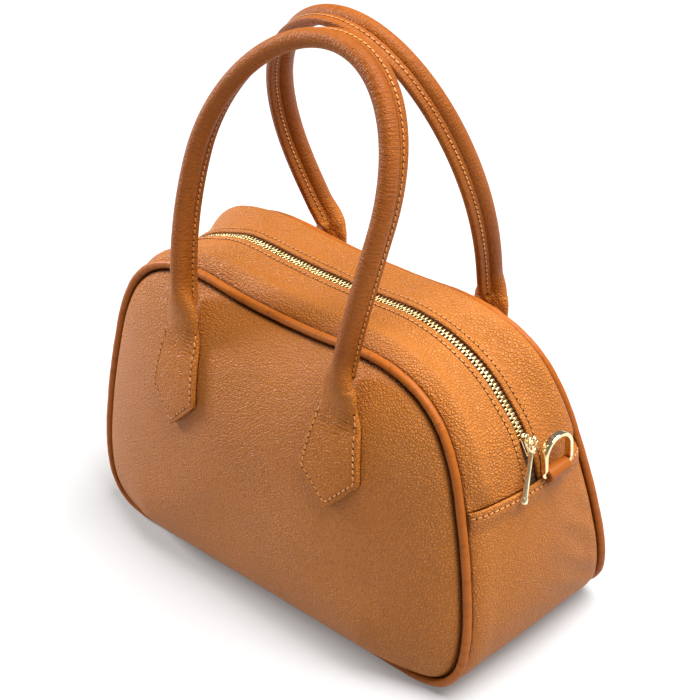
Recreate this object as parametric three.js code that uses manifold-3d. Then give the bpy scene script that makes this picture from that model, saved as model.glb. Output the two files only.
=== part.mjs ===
import * as THREE from "three";
import { mergeVertices } from "three/addons/utils/BufferGeometryUtils.js";
import Module from "manifold-3d";

const wasm = await Module();
wasm.setup();

// Leather and joints, in millimetres
const WALL = 2;
const PANEL_WALL = 2.4;
const GAP = 0.35;
const PIPING_RADIUS = 2.3;

// Half outline of a panel along its piping, from the middle of the base to the middle of the top,
// with how far the gusset swells outwards there at the right and at the left end
const OUTLINE = [
  { x: 0, z: 3, right: 0, left: 0 },
  { x: 60, z: 3, right: 0, left: 0 },
  { x: 105, z: 3, right: 0, left: 0 },
  { x: 123, z: 7.5, right: 0.4, left: 0.3 },
  { x: 133.2, z: 18.5, right: 1.5, left: 0.8 },
  { x: 137.3, z: 38, right: 4, left: 2 },
  { x: 135, z: 72, right: 7, left: 3.2 },
  { x: 128.5, z: 106.4, right: 8.7, left: 3.8 },
  { x: 122, z: 130, right: 7.6, left: 3 },
  { x: 112.2, z: 148, right: 4.2, left: 2 },
  { x: 98.4, z: 159.8, right: 3.8, left: 1.5 },
  { x: 79.5, z: 166.6, right: 4.8, left: 2.7 },
  { x: 60, z: 168.2, right: 6.5, left: 6.2 },
  { x: 30, z: 166, right: 7.6, left: 7.6 },
  { x: 0, z: 165.2, right: 7.8, left: 7.8 },
];
const SEAM_ROW = 7;
const STEPS_PER_ROW = 2;
const STATIONS = 2 * (OUTLINE.length - 1) * STEPS_PER_ROW;
const SEAM_STATION = SEAM_ROW * STEPS_PER_ROW;

// Seams between the lower and the top gusset, in shares of a station step
const SEAM_GAP = 0.03;
const SEAM_DIP = 0.06;
const SEAM_DIP_FADE = 3;
const BASE_LEVEL = OUTLINE[0].z;

// Depth of the bag from its middle plane to the piping
const HALF_DEPTH_AT_BASE = 57.5;
const HALF_DEPTH_AT_TOP = 35.5;
const TOP_LEVEL = 168;

// Bulge of the panels, stepped in rings from the edge to the middle
const PANEL_MIDDLE = { x: 0, z: 85 };
const PANEL_BULGE = 25;
const PANEL_RINGS = [1, 0.95, 0.85, 0.68, 0.4, 0];
const BULGE_ROUNDNESS = 2.4;
const BULGE_FULLNESS = 0.8;
const BELLY = { rise: 4, low: 14, high: 60, near: 80, far: 115, roundness: 14, fullness: 0.6 };

// Faces of the gusset above the outline, and its columns from piping to piping
const TOP_FACE = 0.8;
const LOWER_FACE = 1.4;
const LOWER_COLUMNS = [-1, -0.8, -0.4, 0, 0.4, 0.8, 1];
const TOP_COLUMNS = [1, 0.7, 0.4];

// Zip along the middle of the top
const SLOT_HALF = 4;
const TAPE_THICKNESS = 0.8;
const CHAIN_HALF = 2.6;
const CHAIN_RECESS = 0.2;

// Slider and pull at the right end of the zip
const SLIDER_STATION = 7.78 * STEPS_PER_ROW;
const SLIDER = { length: 12, width: 6.4, nose: 4.6, height: 3, lift: 0.4 };
const BAIL = {
  middle: 2.6,
  foot: 3.3,
  crown: 2.6,
  top: 8.5,
  thickness: 1.2,
  eyeHeight: 5.9,
  eyeRadius: 1.55,
};
const PULL = {
  ringRadius: 2.7,
  wire: 0.6,
  length: 31.5,
  topRadius: 0.9,
  endRadius: 1.25,
  capLength: 3,
  capRadius: 1.9,
};
const PULL_HANGS = new THREE.Vector3(0.17, -0.44, -0.88).normalize();

// Leather loops and rings at both ends
const LOOP = {
  station: 7.05 * STEPS_PER_ROW,
  middle: 12,
  length: 15,
  outer: 3.9,
  bore: 1.8,
  tail: 1.4,
  tailThickness: 2,
};
const RING = {
  halfWidth: 9.4,
  height: 20.5,
  corner: 1.5,
  bar: 1.3,
  halfBand: 2.2,
  halfThick: 1.1,
  bandFrom: 1.5,
  bandTo: 4.5,
  leanDegrees: -14,
};

// Tabs of the handles, from the tip up to the roll
const TAB = [
  { z: 95.5, half: 0.8, thick: 3, roll: 0 },
  { z: 103.8, half: 10, thick: 3, roll: 0 },
  { z: 112, half: 18.2, thick: 3, roll: 0 },
  { z: 115, half: 18.2, thick: 3, roll: 0 },
  { z: 127, half: 16.7, thick: 3.2, roll: 0 },
  { z: 134, half: 15.4, thick: 3.2, roll: 0 },
  { z: 139.5, half: 14.8, thick: 3.4, roll: 0.08 },
  { z: 144, half: 14.3, thick: 3.6, roll: 0.2 },
  { z: 148.5, half: 13.8, thick: 4, roll: 0.4 },
  { z: 152, half: 13.2, thick: 4.4, roll: 0.65 },
  { z: 156, half: 12.4, thick: 5, roll: 0.88 },
];
const TAB_GAP = 0.6;
const NECK = { from: 140, to: 158, lift: 3 };

// Rolls of the handles: a round roll with a sewn fin on its inner side
const ROLL_RADIUS = 4.9;
const ROLL_START = 160;
const FIN_LENGTH = 6.4;
const FIN_HALF = 2.1;
const FIN_GROWS = { from: 152, to: 163 };
const FOOT_FLARE = { share: 1.05, from: 156, to: 182 };
const ARCH_STEPS = 8;
const HANDLES = [
  {
    name: "front",
    side: -1,
    feet: { left: -54, right: 61 },
    foot: 55.4,
    top: 12.4,
    crest: 316,
    bow: 64.2,
    bowAt: 0.515,
    lean: 15,
    curl: 13,
    ease: 1.37,
  },
  {
    name: "back",
    side: 1,
    feet: { left: -59, right: 59 },
    foot: 59.5,
    top: 12.4,
    crest: 315,
    bow: 68,
    bowAt: 0.375,
    lean: -9,
    curl: 21,
    ease: 1.21,
  },
];

const LEATHER = { color: 0xb0693a, roughness: 0.55, metalness: 0 };
const TAPE = { color: 0x8a5a34, roughness: 0.85, metalness: 0 };
const GOLD = { color: 0xe2c98f, roughness: 0.22, metalness: 1 };

const bag = new THREE.Group();
bag.name = "handbag";

function add(name, geometry, look) {
  const mesh = new THREE.Mesh(geometry, new THREE.MeshStandardMaterial(look));
  mesh.name = name;
  bag.add(mesh);
}

const point = (x, y, z) => new THREE.Vector3(x, y, z);
const lerp = THREE.MathUtils.lerp;

// Reads a table between its rows
function fromTable(table, key, at, column) {
  const last = table.length - 1;
  if (at <= table[0][key]) return table[0][column];
  if (at >= table[last][key]) return table[last][column];
  const i = table.findIndex((row) => row[key] > at);
  const share = (at - table[i - 1][key]) / (table[i][key] - table[i - 1][key]);
  return lerp(table[i - 1][column], table[i][column], share);
}

// A closed surface from corner triples, turned to face outwards
function closedGeometry(corners) {
  const real = corners.filter(([a, b, c]) => !a.equals(b) && !b.equals(c) && !c.equals(a));
  const volume = real.reduce((sum, [a, b, c]) => sum + a.dot(b.clone().cross(c)), 0);
  const facing = volume < 0 ? real.map(([a, b, c]) => [a, c, b]) : real;
  const geometry = new THREE.BufferGeometry().setFromPoints(facing.flat());
  return mergeVertices(geometry, 1e-4);
}

function pushQuad(corners, a, b, c, d) {
  corners.push([a, b, c], [a, c, d]);
}

// A wall between an outer and an inner grid of points; a ring wall joins its last row to its first
function wall(outer, inner, isRing) {
  const corners = [];
  const rows = outer.length;
  const last = outer[0].length - 1;
  const spans = isRing ? rows : rows - 1;
  for (let i = 0; i < spans; i++) {
    const n = (i + 1) % rows;
    for (let j = 0; j < last; j++) {
      pushQuad(corners, outer[i][j], outer[n][j], outer[n][j + 1], outer[i][j + 1]);
      pushQuad(corners, inner[i][j], inner[i][j + 1], inner[n][j + 1], inner[n][j]);
    }
    pushQuad(corners, outer[i][0], inner[i][0], inner[n][0], outer[n][0]);
    pushQuad(corners, outer[i][last], outer[n][last], inner[n][last], inner[i][last]);
  }
  for (let j = 0; j < last && !isRing; j++) {
    const e = rows - 1;
    pushQuad(corners, outer[0][j], outer[0][j + 1], inner[0][j + 1], inner[0][j]);
    pushQuad(corners, outer[e][j], inner[e][j], inner[e][j + 1], outer[e][j + 1]);
  }
  return closedGeometry(corners);
}

// A skin over a row of closed sections; an open loft gets a cap at each end
function loft(sections, isLoop) {
  const corners = [];
  const count = sections.length;
  const sides = sections[0].length;
  const spans = isLoop ? count : count - 1;
  for (let i = 0; i < spans; i++) {
    const n = (i + 1) % count;
    for (let k = 0; k < sides; k++) {
      const m = (k + 1) % sides;
      pushQuad(corners, sections[i][k], sections[n][k], sections[n][m], sections[i][m]);
    }
  }
  if (isLoop) return closedGeometry(corners);
  for (const [section, turn] of [[sections[0], 1], [sections[count - 1], -1]]) {
    const middle = section.reduce((sum, p) => sum.add(p), point(0, 0, 0)).divideScalar(sides);
    for (let k = 0; k < sides; k++) {
      const m = (k + 1) % sides;
      corners.push(turn > 0 ? [middle, section[k], section[m]] : [middle, section[m], section[k]]);
    }
  }
  return closedGeometry(corners);
}

function toSolid(geometry) {
  const bare = geometry.clone();
  bare.deleteAttribute("normal");
  bare.deleteAttribute("uv");
  const merged = mergeVertices(bare, 1e-4);
  return new wasm.Manifold(
    new wasm.Mesh({
      numProp: 3,
      vertProperties: merged.attributes.position.array,
      triVerts: new Uint32Array(merged.index.array),
    }),
  );
}

// Several overlapping shapes as one solid
function joined(geometries) {
  const whole = geometries.map(toSolid).reduce((sum, next) => sum.add(next));
  const mesh = whole.getMesh();
  const geometry = new THREE.BufferGeometry();
  geometry.setAttribute("position", new THREE.BufferAttribute(mesh.vertProperties, 3));
  geometry.setIndex(new THREE.BufferAttribute(mesh.triVerts, 1));
  return geometry;
}

// Outline of the bag: points, outward directions and depth
const outlineCurve = new THREE.CatmullRomCurve3(
  [
    ...OUTLINE.map(({ x, z }) => point(x, 0, z)),
    ...OUTLINE.slice(1, -1).reverse().map(({ x, z }) => point(-x, 0, z)),
  ],
  true,
  "centripetal",
);

function outlineAt(station) {
  const share = station / STATIONS;
  const p = outlineCurve.getPoint(share - Math.floor(share));
  p.z = Math.max(p.z, BASE_LEVEL);
  return p;
}

function outwardAt(station) {
  const along = outlineAt(station + 0.2).sub(outlineAt(station - 0.2));
  return point(along.z, 0, -along.x).normalize();
}

const halfDepth = (z) => lerp(HALF_DEPTH_AT_BASE, HALF_DEPTH_AT_TOP, z / TOP_LEVEL);
const gussetEdge = (z) => halfDepth(z) - PIPING_RADIUS - GAP;

// Walls between the panels: share runs from -1 at the front piping to 1 at the back piping
function swellAt(station) {
  const turn = ((station % STATIONS) + STATIONS) % STATIONS;
  const onRight = turn <= STATIONS / 2;
  const row = (onRight ? turn : STATIONS - turn) / STEPS_PER_ROW;
  const i = Math.min(Math.floor(row), OUTLINE.length - 2);
  const end = onRight ? "right" : "left";
  return lerp(OUTLINE[i][end], OUTLINE[i + 1][end], row - i);
}

function gussetPoint(station, share, rise) {
  const place = outlineAt(station);
  const lifted = rise + swellAt(station) * (1 - share * share);
  const y = share * gussetEdge(place.z);
  return place.addScaledVector(outwardAt(station), lifted).setY(y);
}

// Panels
function panelEdge(station) {
  return outlineAt(station).addScaledVector(outwardAt(station), -PIPING_RADIUS - GAP);
}

const bulgeAtRing = (ring) => PANEL_BULGE * (1 - ring ** BULGE_ROUNDNESS) ** BULGE_FULLNESS;

// Soft leather hangs a little over the lower seam
function bellyAt(ring, x, z) {
  const low = 1 - THREE.MathUtils.smoothstep(z, BELLY.low, BELLY.high);
  const middle = 1 - THREE.MathUtils.smoothstep(Math.abs(x), BELLY.near, BELLY.far);
  return BELLY.rise * low * middle * (1 - ring ** BELLY.roundness) ** BELLY.fullness;
}

const RING_BULGES = PANEL_RINGS.map((ring) => ({ ring, bulge: bulgeAtRing(ring) })).reverse();

function panelGrid(side, sink) {
  const grid = [];
  for (let i = 0; i < STATIONS; i++) {
    const edge = panelEdge(i);
    grid.push(
      PANEL_RINGS.map((ring) => {
        const x = lerp(PANEL_MIDDLE.x, edge.x, ring);
        const z = lerp(PANEL_MIDDLE.z, edge.z, ring);
        const bulge = bulgeAtRing(ring) + bellyAt(ring, x, z);
        return point(x, side * (halfDepth(z) + bulge + PANEL_WALL / 2 - sink), z);
      }),
    );
  }
  return grid;
}

// Distance of a panel's outer face from the middle plane of the bag
function panelFace(x, z) {
  const [px, pz] = [x - PANEL_MIDDLE.x, z - PANEL_MIDDLE.z];
  let ring = 1;
  for (let i = 0; i < STATIONS; i++) {
    const [a, b] = [panelEdge(i), panelEdge(i + 1)];
    const [ax, az] = [a.x - PANEL_MIDDLE.x, a.z - PANEL_MIDDLE.z];
    const [bx, bz] = [b.x - PANEL_MIDDLE.x, b.z - PANEL_MIDDLE.z];
    const area = ax * bz - az * bx;
    const shareA = (px * bz - pz * bx) / area;
    const shareB = (ax * pz - az * px) / area;
    if (shareA >= 0 && shareB >= 0) ring = Math.min(1, shareA + shareB);
  }
  return halfDepth(z) + fromTable(RING_BULGES, "ring", ring, "bulge") + PANEL_WALL / 2;
}

// Piping along each panel
function piping(side) {
  const corners = 6;
  const sections = [];
  for (let i = 0; i < STATIONS; i++) {
    const centre = outlineAt(i);
    const outward = outwardAt(i);
    const y = side * halfDepth(centre.z);
    sections.push(
      Array.from({ length: corners }, (_, k) => {
        const turn = (2 * Math.PI * (k + 0.5)) / corners;
        const p = centre.clone().addScaledVector(outward, PIPING_RADIUS * Math.cos(turn));
        return p.setY(y + PIPING_RADIUS * Math.sin(turn));
      }),
    );
  }
  return loft(sections, true);
}

for (const [name, side] of [["front", -1], ["back", 1]]) {
  add(name + "_panel", wall(panelGrid(side, 0), panelGrid(side, PANEL_WALL), true), LEATHER);
  add(name + "_piping", piping(side), LEATHER);
}

// The seams dip towards the middle of each end
function dipped(station, share) {
  const leftSeam = station < 0 ? -SEAM_STATION : STATIONS - SEAM_STATION;
  const fade = (seam) => Math.max(0, 1 - Math.abs(station - seam) / SEAM_DIP_FADE);
  return station + SEAM_DIP * (1 - share * share) * (fade(leftSeam) - fade(SEAM_STATION));
}

// Lower gusset: right end, flat base and left end in one strip
function lowerGussetGrid(sink) {
  const grid = [];
  for (let i = -SEAM_STATION; i <= SEAM_STATION; i++) {
    const down = Math.max(0, -outwardAt(i).z) ** 4;
    grid.push(
      LOWER_COLUMNS.map((share) => {
        const drop = Math.abs(share) < 1 ? (BASE_LEVEL - LOWER_FACE) * down : 0;
        return gussetPoint(dipped(i, share), share, LOWER_FACE + drop - sink);
      }),
    );
  }
  return grid;
}

add("lower_gusset", wall(lowerGussetGrid(0), lowerGussetGrid(WALL), false), LEATHER);

// Top gusset: a strip on each side of the zip, from seam to seam over the top
const TOP_STATIONS = [];
for (let i = SEAM_STATION; i <= STATIONS - SEAM_STATION; i++) TOP_STATIONS.push(i);
TOP_STATIONS[0] += SEAM_GAP;
TOP_STATIONS[TOP_STATIONS.length - 1] -= SEAM_GAP;

const slotShare = (station) => SLOT_HALF / gussetEdge(outlineAt(station).z);

function topGussetGrid(side, sink) {
  return TOP_STATIONS.map((i) =>
    [...TOP_COLUMNS, slotShare(i)].map((share) =>
      gussetPoint(dipped(i, share), side * share, TOP_FACE - sink),
    ),
  );
}

for (const [name, side] of [["front", -1], ["back", 1]]) {
  add("top_gusset_" + name, wall(topGussetGrid(side, 0), topGussetGrid(side, WALL), false), LEATHER);
}

// Zip: a woven tape under the strips and the chain on its middle
function zipGrid(shares, rise) {
  return TOP_STATIONS.map((i) => shares(i).map((share) => gussetPoint(dipped(i, share), share, rise)));
}

const tapeShares = (i) => [-0.4, -slotShare(i), slotShare(i), 0.4];
const chainShares = (i) => [-1, 0, 1].map((k) => (k * CHAIN_HALF) / gussetEdge(outlineAt(i).z));
const TAPE_RISE = TOP_FACE - WALL - GAP;
add(
  "zip_tape",
  wall(zipGrid(tapeShares, TAPE_RISE), zipGrid(tapeShares, TAPE_RISE - TAPE_THICKNESS), false),
  TAPE,
);
add(
  "zip_chain",
  wall(zipGrid(chainShares, TOP_FACE - CHAIN_RECESS), zipGrid(chainShares, TAPE_RISE + GAP), false),
  GOLD,
);

// Seat on the top gusset: up along the bag's end, across, and outwards
function seat(station, lift) {
  const outward = outwardAt(station);
  const up = point(-outward.z, 0, outward.x);
  if (up.z < 0) up.negate();
  const origin = gussetPoint(station, 0, TOP_FACE + lift);
  const across = outward.clone().cross(up);
  return new THREE.Matrix4().makeBasis(up, across, outward).setPosition(origin);
}

function extruded(shape, depth) {
  return new THREE.ExtrudeGeometry(shape, { depth, bevelEnabled: false, curveSegments: 8 });
}

// Slider: a wedge body with a pierced bail on top
function sliderBody() {
  const [l, w, n] = [SLIDER.length / 2, SLIDER.width / 2, SLIDER.nose / 2];
  const shape = new THREE.Shape();
  shape.moveTo(-l, -n);
  shape.lineTo(l - w, -w);
  shape.absarc(l - w, 0, w, -Math.PI / 2, Math.PI / 2, false);
  shape.lineTo(-l, n);
  shape.closePath();
  return extruded(shape, SLIDER.height);
}

function sliderBail() {
  const shape = new THREE.Shape();
  shape.moveTo(-BAIL.foot, SLIDER.height - GAP);
  shape.lineTo(BAIL.foot, SLIDER.height - GAP);
  shape.lineTo(BAIL.crown, BAIL.top);
  shape.lineTo(-BAIL.crown, BAIL.top);
  shape.closePath();
  const eye = new THREE.Path().absarc(0, BAIL.eyeHeight, BAIL.eyeRadius, 0, 2 * Math.PI, true);
  shape.holes.push(eye);
  return extruded(shape, BAIL.thickness).rotateX(Math.PI / 2).translate(BAIL.middle, BAIL.thickness / 2, 0);
}

const sliderSeat = seat(SLIDER_STATION, SLIDER.lift);
add("zip_slider", joined([sliderBody(), sliderBail()]).applyMatrix4(sliderSeat), GOLD);

// Pull: a ring through the bail and a slim round rod with a wider end
function pull() {
  const inRing = 2 * PULL.ringRadius;
  const rodLength = PULL.length - inRing;
  const rod = new THREE.CylinderGeometry(PULL.topRadius, PULL.endRadius, rodLength, 10);
  rod.rotateX(Math.PI / 2).translate(0, 0, -inRing - rodLength / 2);
  const cap = new THREE.CylinderGeometry(PULL.capRadius, PULL.capRadius, PULL.capLength, 10);
  cap.rotateX(Math.PI / 2).translate(0, 0, -PULL.length + PULL.capLength / 2);
  const eye = new THREE.TorusGeometry(PULL.ringRadius, PULL.wire, 8, 20);
  eye.rotateX(Math.PI / 2).translate(0, 0, -PULL.ringRadius);
  return joined([rod, cap, eye]);
}

const pullPivot = point(BAIL.middle, 0, BAIL.eyeHeight).applyMatrix4(sliderSeat);
const pullUp = PULL_HANGS.clone().negate();
const pullAcross = point(0, 1, 0).addScaledVector(PULL_HANGS, -PULL_HANGS.y).normalize();
const pullSeat = new THREE.Matrix4().makeBasis(pullAcross, pullUp.clone().cross(pullAcross), pullUp);
add("zip_pull", pull().applyMatrix4(pullSeat.setPosition(pullPivot)), GOLD);

// Leather loop: a rolled eye with a tail that runs down to the seam
function leatherLoop() {
  const centre = LOOP.outer + GAP;
  const shape = new THREE.Shape();
  shape.moveTo(-LOOP.tail, GAP);
  shape.lineTo(0, GAP);
  shape.absarc(0, centre, LOOP.outer, -Math.PI / 2, Math.PI + 0.55, false);
  shape.lineTo(-LOOP.tail, GAP + LOOP.tailThickness);
  shape.closePath();
  shape.holes.push(new THREE.Path().absarc(0, centre, LOOP.bore, 0, 2 * Math.PI, true));
  return extruded(shape, LOOP.length).rotateX(Math.PI / 2).translate(0, LOOP.length / 2, 0);
}

// Ring: a straight bar inside the loop and a rounded bow above it
function ringPath() {
  const [w, r, h] = [RING.halfWidth, RING.corner, RING.height];
  const shape = new THREE.Shape();
  shape.moveTo(0, 0);
  shape.lineTo(w - r, 0);
  shape.absarc(w - r, r, r, -Math.PI / 2, 0, false);
  shape.lineTo(w, h - w);
  shape.absarc(0, h - w, w, 0, Math.PI, false);
  shape.lineTo(-w, r);
  shape.absarc(-w + r, r, r, Math.PI, 1.5 * Math.PI, false);
  shape.closePath();
  return shape.getSpacedPoints(40).slice(0, -1);
}

function ring() {
  const sides = 8;
  const path = ringPath();
  const sections = path.map((p, i) => {
    const before = path[(i + path.length - 1) % path.length];
    const after = path[(i + 1) % path.length];
    const along = after.clone().sub(before).normalize();
    const banded = THREE.MathUtils.smoothstep(p.y, RING.bandFrom, RING.bandTo);
    const [thick, band] = [lerp(RING.bar, RING.halfThick, banded), lerp(RING.bar, RING.halfBand, banded)];
    return Array.from({ length: sides }, (_, k) => {
      const turn = (2 * Math.PI * (k + 0.5)) / sides;
      const inPlane = thick * Math.cos(turn);
      return point(p.y - along.x * inPlane, p.x + along.y * inPlane, band * Math.sin(turn));
    });
  });
  return loft(sections, true).rotateY(THREE.MathUtils.degToRad(RING.leanDegrees));
}

for (const [name, station] of [["right", LOOP.station], ["left", STATIONS - LOOP.station]]) {
  const aside = name === "right" ? -LOOP.middle : LOOP.middle;
  const place = seat(station, 0).multiply(new THREE.Matrix4().makeTranslation(0, aside, 0));
  const eye = new THREE.Matrix4().makeTranslation(0, 0, LOOP.outer + GAP);
  add("ring_loop_" + name, leatherLoop().applyMatrix4(place), LEATHER);
  add("ring_" + name, ring().applyMatrix4(place.clone().multiply(eye)), GOLD);
}

// Section of a handle: the round roll and its fin, as shares of a full turn
const ROLL_TURNS = [40, 75, 110, 145, 180, 215, 250, 285, 320];

function rollSection(fin, flare) {
  const round = ROLL_TURNS.map((degrees) => {
    const turn = THREE.MathUtils.degToRad(degrees);
    return { inward: ROLL_RADIUS * Math.cos(turn), across: ROLL_RADIUS * flare * Math.sin(turn) };
  });
  const root = ROLL_RADIUS * 0.98;
  return [
    ...round,
    { inward: root, across: -FIN_HALF },
    { inward: root + fin, across: -FIN_HALF * 0.9 },
    { inward: root + fin, across: FIN_HALF * 0.9 },
    { inward: root, across: FIN_HALF },
  ];
}

// The same points laid flat for a tab: the roll's skin is the outer face, the fin is the inner face
function flatSection(half, thick) {
  const [first, last] = [ROLL_TURNS[0], ROLL_TURNS[ROLL_TURNS.length - 1]];
  const outer = ROLL_TURNS.map((degrees) => ({
    inward: -thick / 2,
    across: half * (1 - (2 * (degrees - first)) / (last - first)),
  }));
  const inner = [-0.97, -0.35, 0.35, 0.97].map((share) => ({ inward: thick / 2, across: half * share }));
  return [...outer, ...inner];
}

// Middle line of a handle's roll: h runs from 0 at the foot to 1 at the crest
function archPoint(handle, h, leg) {
  const { side, feet, foot, top, crest, bow, bowAt, lean, curl, ease } = handle;
  const rising = Math.sin((Math.PI / 2) * Math.min(1, h / bowAt));
  const closing = Math.sqrt(Math.max(0, 1 - ((h - bowAt) / (1 - bowAt)) ** 2));
  const spread = h < bowAt ? lerp((feet.right - feet.left) / 2, bow, rising) : bow * closing;
  const aside = ((feet.right + feet.left) / 2) * (1 - h) ** 3;
  const x = leg * spread + aside + lean * h + curl * h * h;
  return point(x, side * lerp(foot, top, h ** ease), lerp(ROLL_START, crest, h));
}

// Stations of one leg of a handle, from the tip of its tab to the crest
function legStations(handle, leg) {
  const x = leg < 0 ? handle.feet.left : handle.feet.right;
  const stations = TAB.map(({ z, half, thick, roll }) => {
    const stand = TAB_GAP + (roll > 0 ? ROLL_RADIUS : thick / 2);
    const lifted = THREE.MathUtils.smoothstep(z, NECK.from, NECK.to);
    const centre = point(x, handle.side * lerp(panelFace(x, z) + stand, handle.foot, lifted), z);
    return { centre, half, thick, roll };
  });
  for (let i = 0; i < 2 * ARCH_STEPS; i++) {
    const turn = ((i - ARCH_STEPS) / ARCH_STEPS) * (Math.PI / 2);
    const low = (i / ARCH_STEPS) * handle.bowAt;
    const high = handle.bowAt + (1 - handle.bowAt) * Math.sin(turn);
    stations.push({ centre: archPoint(handle, i < ARCH_STEPS ? low : high, leg), roll: 1 });
  }
  return stations;
}

function handle(spec) {
  const crest = { centre: archPoint(spec, 1, 1), roll: 1 };
  const stations = [...legStations(spec, -1), crest, ...legStations(spec, 1).reverse()];
  const inwards = point(0, -spec.side, 0);
  const sections = stations.map(({ centre, half, thick, roll }, i) => {
    const before = stations[Math.max(0, i - 1)].centre;
    const after = stations[Math.min(stations.length - 1, i + 1)].centre;
    const along = after.clone().sub(before).normalize();
    const inward = inwards.clone().addScaledVector(along, -inwards.dot(along)).normalize();
    const across = inward.clone().cross(along);
    const fin = FIN_LENGTH * THREE.MathUtils.smoothstep(centre.z, FIN_GROWS.from, FIN_GROWS.to);
    const foot = 1 - THREE.MathUtils.smoothstep(centre.z, FOOT_FLARE.from, FOOT_FLARE.to);
    const rolled = rollSection(fin, 1 + FOOT_FLARE.share * foot).map((s) =>
      centre.clone().addScaledVector(inward, s.inward).addScaledVector(across, s.across),
    );
    if (roll === 1) return rolled;
    const lift = TAB_GAP + NECK.lift * THREE.MathUtils.smoothstep(centre.z, NECK.from, NECK.to);
    const laid = flatSection(half, thick).map((s) => {
      const x = centre.x + s.across * Math.sign(across.x);
      const y = panelFace(x, centre.z) + lift + thick / 2 - s.inward;
      return point(x, spec.side * y, centre.z);
    });
    return laid.map((p, k) => p.lerp(rolled[k], roll));
  });
  return loft(sections, false);
}

for (const spec of HANDLES) add("handle_" + spec.name, handle(spec), LEATHER);

export default bag;
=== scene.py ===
from math import cos, pi, radians, sin
from types import SimpleNamespace as Values

import bpy
import numpy as np
from mathutils import Matrix, Vector
from mathutils.bvhtree import BVHTree


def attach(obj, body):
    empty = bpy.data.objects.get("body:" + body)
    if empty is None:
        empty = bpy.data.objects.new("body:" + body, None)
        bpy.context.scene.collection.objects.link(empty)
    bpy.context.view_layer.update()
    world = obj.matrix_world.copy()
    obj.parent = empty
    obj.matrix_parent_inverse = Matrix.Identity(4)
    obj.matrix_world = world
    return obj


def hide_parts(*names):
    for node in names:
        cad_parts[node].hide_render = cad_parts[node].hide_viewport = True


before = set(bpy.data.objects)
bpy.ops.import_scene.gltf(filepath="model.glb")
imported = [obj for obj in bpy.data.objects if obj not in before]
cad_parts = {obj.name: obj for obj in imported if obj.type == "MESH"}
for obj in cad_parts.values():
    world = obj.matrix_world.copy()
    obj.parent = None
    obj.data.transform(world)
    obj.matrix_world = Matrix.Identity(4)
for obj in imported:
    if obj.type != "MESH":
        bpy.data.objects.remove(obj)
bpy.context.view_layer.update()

# Lengths below are in millimetres; meshes are written in metres
MM = 0.001

# Leather, piping and depth, as in the CAD model
WALL = 2.0
PANEL_WALL = 2.4
GAP = 0.35
PIPING_RADIUS = 2.3
BASE_LEVEL = 3.0
HALF_DEPTH_AT_BASE = 57.5
HALF_DEPTH_AT_TOP = 35.5
TOP_LEVEL = 168.0
PANEL_MIDDLE_Z = 85.0
PANEL_BULGE = 25.0
BULGE_ROUNDNESS = 2.4
BULGE_FULLNESS = 0.8
TOP_FACE = 0.8
LOWER_FACE = 1.4
SEAM_ROW = 7.0
SLOT_HALF = 3.2
SIDES = (("front", -1), ("back", 1))

# Half outline of a panel: x, z, and the swell of the gusset at the right and at the left end
OUTLINE = np.array([
    (0, 3, 0, 0), (60, 3, 0, 0), (105, 3, 0, 0),
    (123, 7.5, 0.4, 0.3), (133.2, 18.5, 1.5, 0.8), (137.3, 38, 4, 2),
    (135, 72, 7, 3.2), (128.5, 106.4, 8.7, 3.8), (122, 130, 7.6, 3),
    (112.2, 148, 4.2, 2), (98.4, 159.8, 3.8, 1.5), (79.5, 166.6, 4.8, 2.7),
    (60, 168.2, 6.5, 6.2), (30, 166, 7.6, 7.6), (0, 165.2, 7.8, 7.8),
])
HALF_ROWS = len(OUTLINE) - 1
HALF_MARKS = np.arange(HALF_ROWS + 1)
LOOP_POINTS = np.vstack([OUTLINE[:, :2], OUTLINE[-2:0:-1, :2] * (-1, 1)])
ROWS = len(LOOP_POINTS)
LEFT_SEAM = ROWS - SEAM_ROW
ROW_STEP = 0.1


# Small maths helpers
def lerp(a, b, share):
    return a + (b - a) * share


def smooth(x, low, high):
    t = np.clip((x - low) / (high - low), 0, 1)
    return t * t * (3 - 2 * t)


def between(x, start, full, fading, end):
    """Rises from 0 to 1, stays there and falls again."""
    return smooth(x, start, full) * (1 - smooth(x, fading, end))


def hill(x, height, middle, width):
    return height * np.exp(-(((x - middle) / width) ** 2))


def wave(x, depth, pace, shift):
    return depth * np.sin(x * pace + shift)


def unit(v):
    return v / np.linalg.norm(v, axis=-1, keepdims=True)


def square_to(directions, along):
    """The directions, turned square to a line."""
    return unit(directions - along * np.sum(directions * along, -1, keepdims=True))


def points(*coordinates):
    """Points from their coordinates, each a list or one number for all."""
    return np.stack(np.broadcast_arrays(*coordinates), -1)


def circle(count, start=0.0):
    return (np.arange(count) + start) * 2 * pi / count


def power(v, exponent):
    return np.sign(v) * np.abs(v) ** exponent


def lengths_along(line):
    return np.r_[0, np.cumsum(np.linalg.norm(np.diff(line, axis=0), axis=1))]


def ahead_on(path):
    """Directions along a closed path."""
    return unit(np.roll(path, -1, 0) - np.roll(path, 1, 0))


def read_between(at, marks, values):
    """Every column of a table, read between its marks."""
    return points(*(np.interp(at, marks, column) for column in values.T))


def smooth_table(xs, ys, x):
    """Reads a table with a curve that never overshoots."""
    slopes = np.diff(ys) / np.diff(xs)
    before, after = slopes[:-1], slopes[1:]
    same_way = before * after > 0
    total = np.where(same_way, before + after, 1)
    inner = np.where(same_way, 2 * before * after / total, 0)
    tangents = np.r_[slopes[0], inner, slopes[-1]]
    i = np.clip(np.searchsorted(xs, x, side="right") - 1, 0, len(xs) - 2)
    step = xs[i + 1] - xs[i]
    t = np.clip((x - xs[i]) / step, 0, 1)
    rise = ys[i + 1] - ys[i]
    a, b = tangents[i] * step, tangents[i + 1] * step
    return ys[i] + a * t + (3 * rise - 2 * a - b) * t**2 + (a + b - 2 * rise) * t**3


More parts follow.
